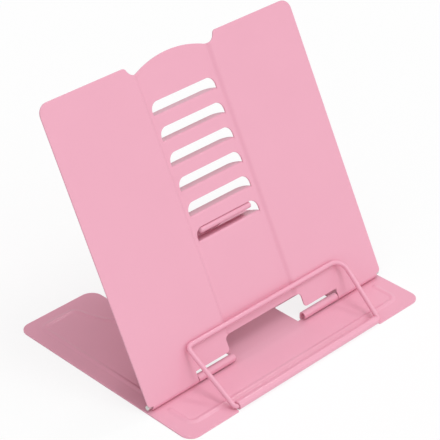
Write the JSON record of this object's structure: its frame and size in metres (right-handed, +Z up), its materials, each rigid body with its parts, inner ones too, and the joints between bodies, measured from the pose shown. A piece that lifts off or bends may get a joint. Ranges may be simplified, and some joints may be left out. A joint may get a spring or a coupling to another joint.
{
  "type": "folding book stand",
  "caption": "Folding sheet-steel book stand with a slotted back panel that tilts on a base plate, a swing prop behind it and a wire page holder in front.",
  "frame": {"origin": "on the floor under the middle of the base plate, midway between its sides and between its front and rear edges", "axes": "+X to the reader's right along the hinge line, +Y to the rear, +Z up"},
  "size_m": [0.2, 0.151, 0.1667],
  "materials": {
    "coated_sheet": "satin powder coat",
    "coated_wire": "satin powder coat",
    "bare_pin": "drawn steel wire"
  },
  "bodies": {
    "base": {"base_plate": "coated_sheet", "left_panel_pin": "bare_pin", "right_panel_pin": "bare_pin", "prop_pin": "bare_pin"},
    "panel": {"back_panel": "coated_sheet"},
    "prop": {"support_prop": "coated_sheet"},
    "bail": {"page_bail": "coated_wire"}
  },
  "joints": [
    {"name": "panel_tilt", "type": "hinge", "parent": "base", "child": "panel", "pos_m": [0, -0.0395, 0.00376], "axis": [1, 0, 0], "range_deg": [-30, 0]},
    {"name": "prop_swing", "type": "hinge", "parent": "base", "child": "prop", "pos_m": [0, 0.0565, 0.00376], "axis": [1, 0, 0], "range_deg": [-73, 0]},
    {"name": "page_bail_swing", "type": "hinge", "parent": "base", "child": "bail", "pos_m": [0, -0.07292, 0.00258], "axis": [1, 0, 0], "range_deg": [0, 151.5]}
  ],
  "couplings": [
    {"joint": "prop_swing", "follows": "panel_tilt", "ratio": 2.42}
  ]
}
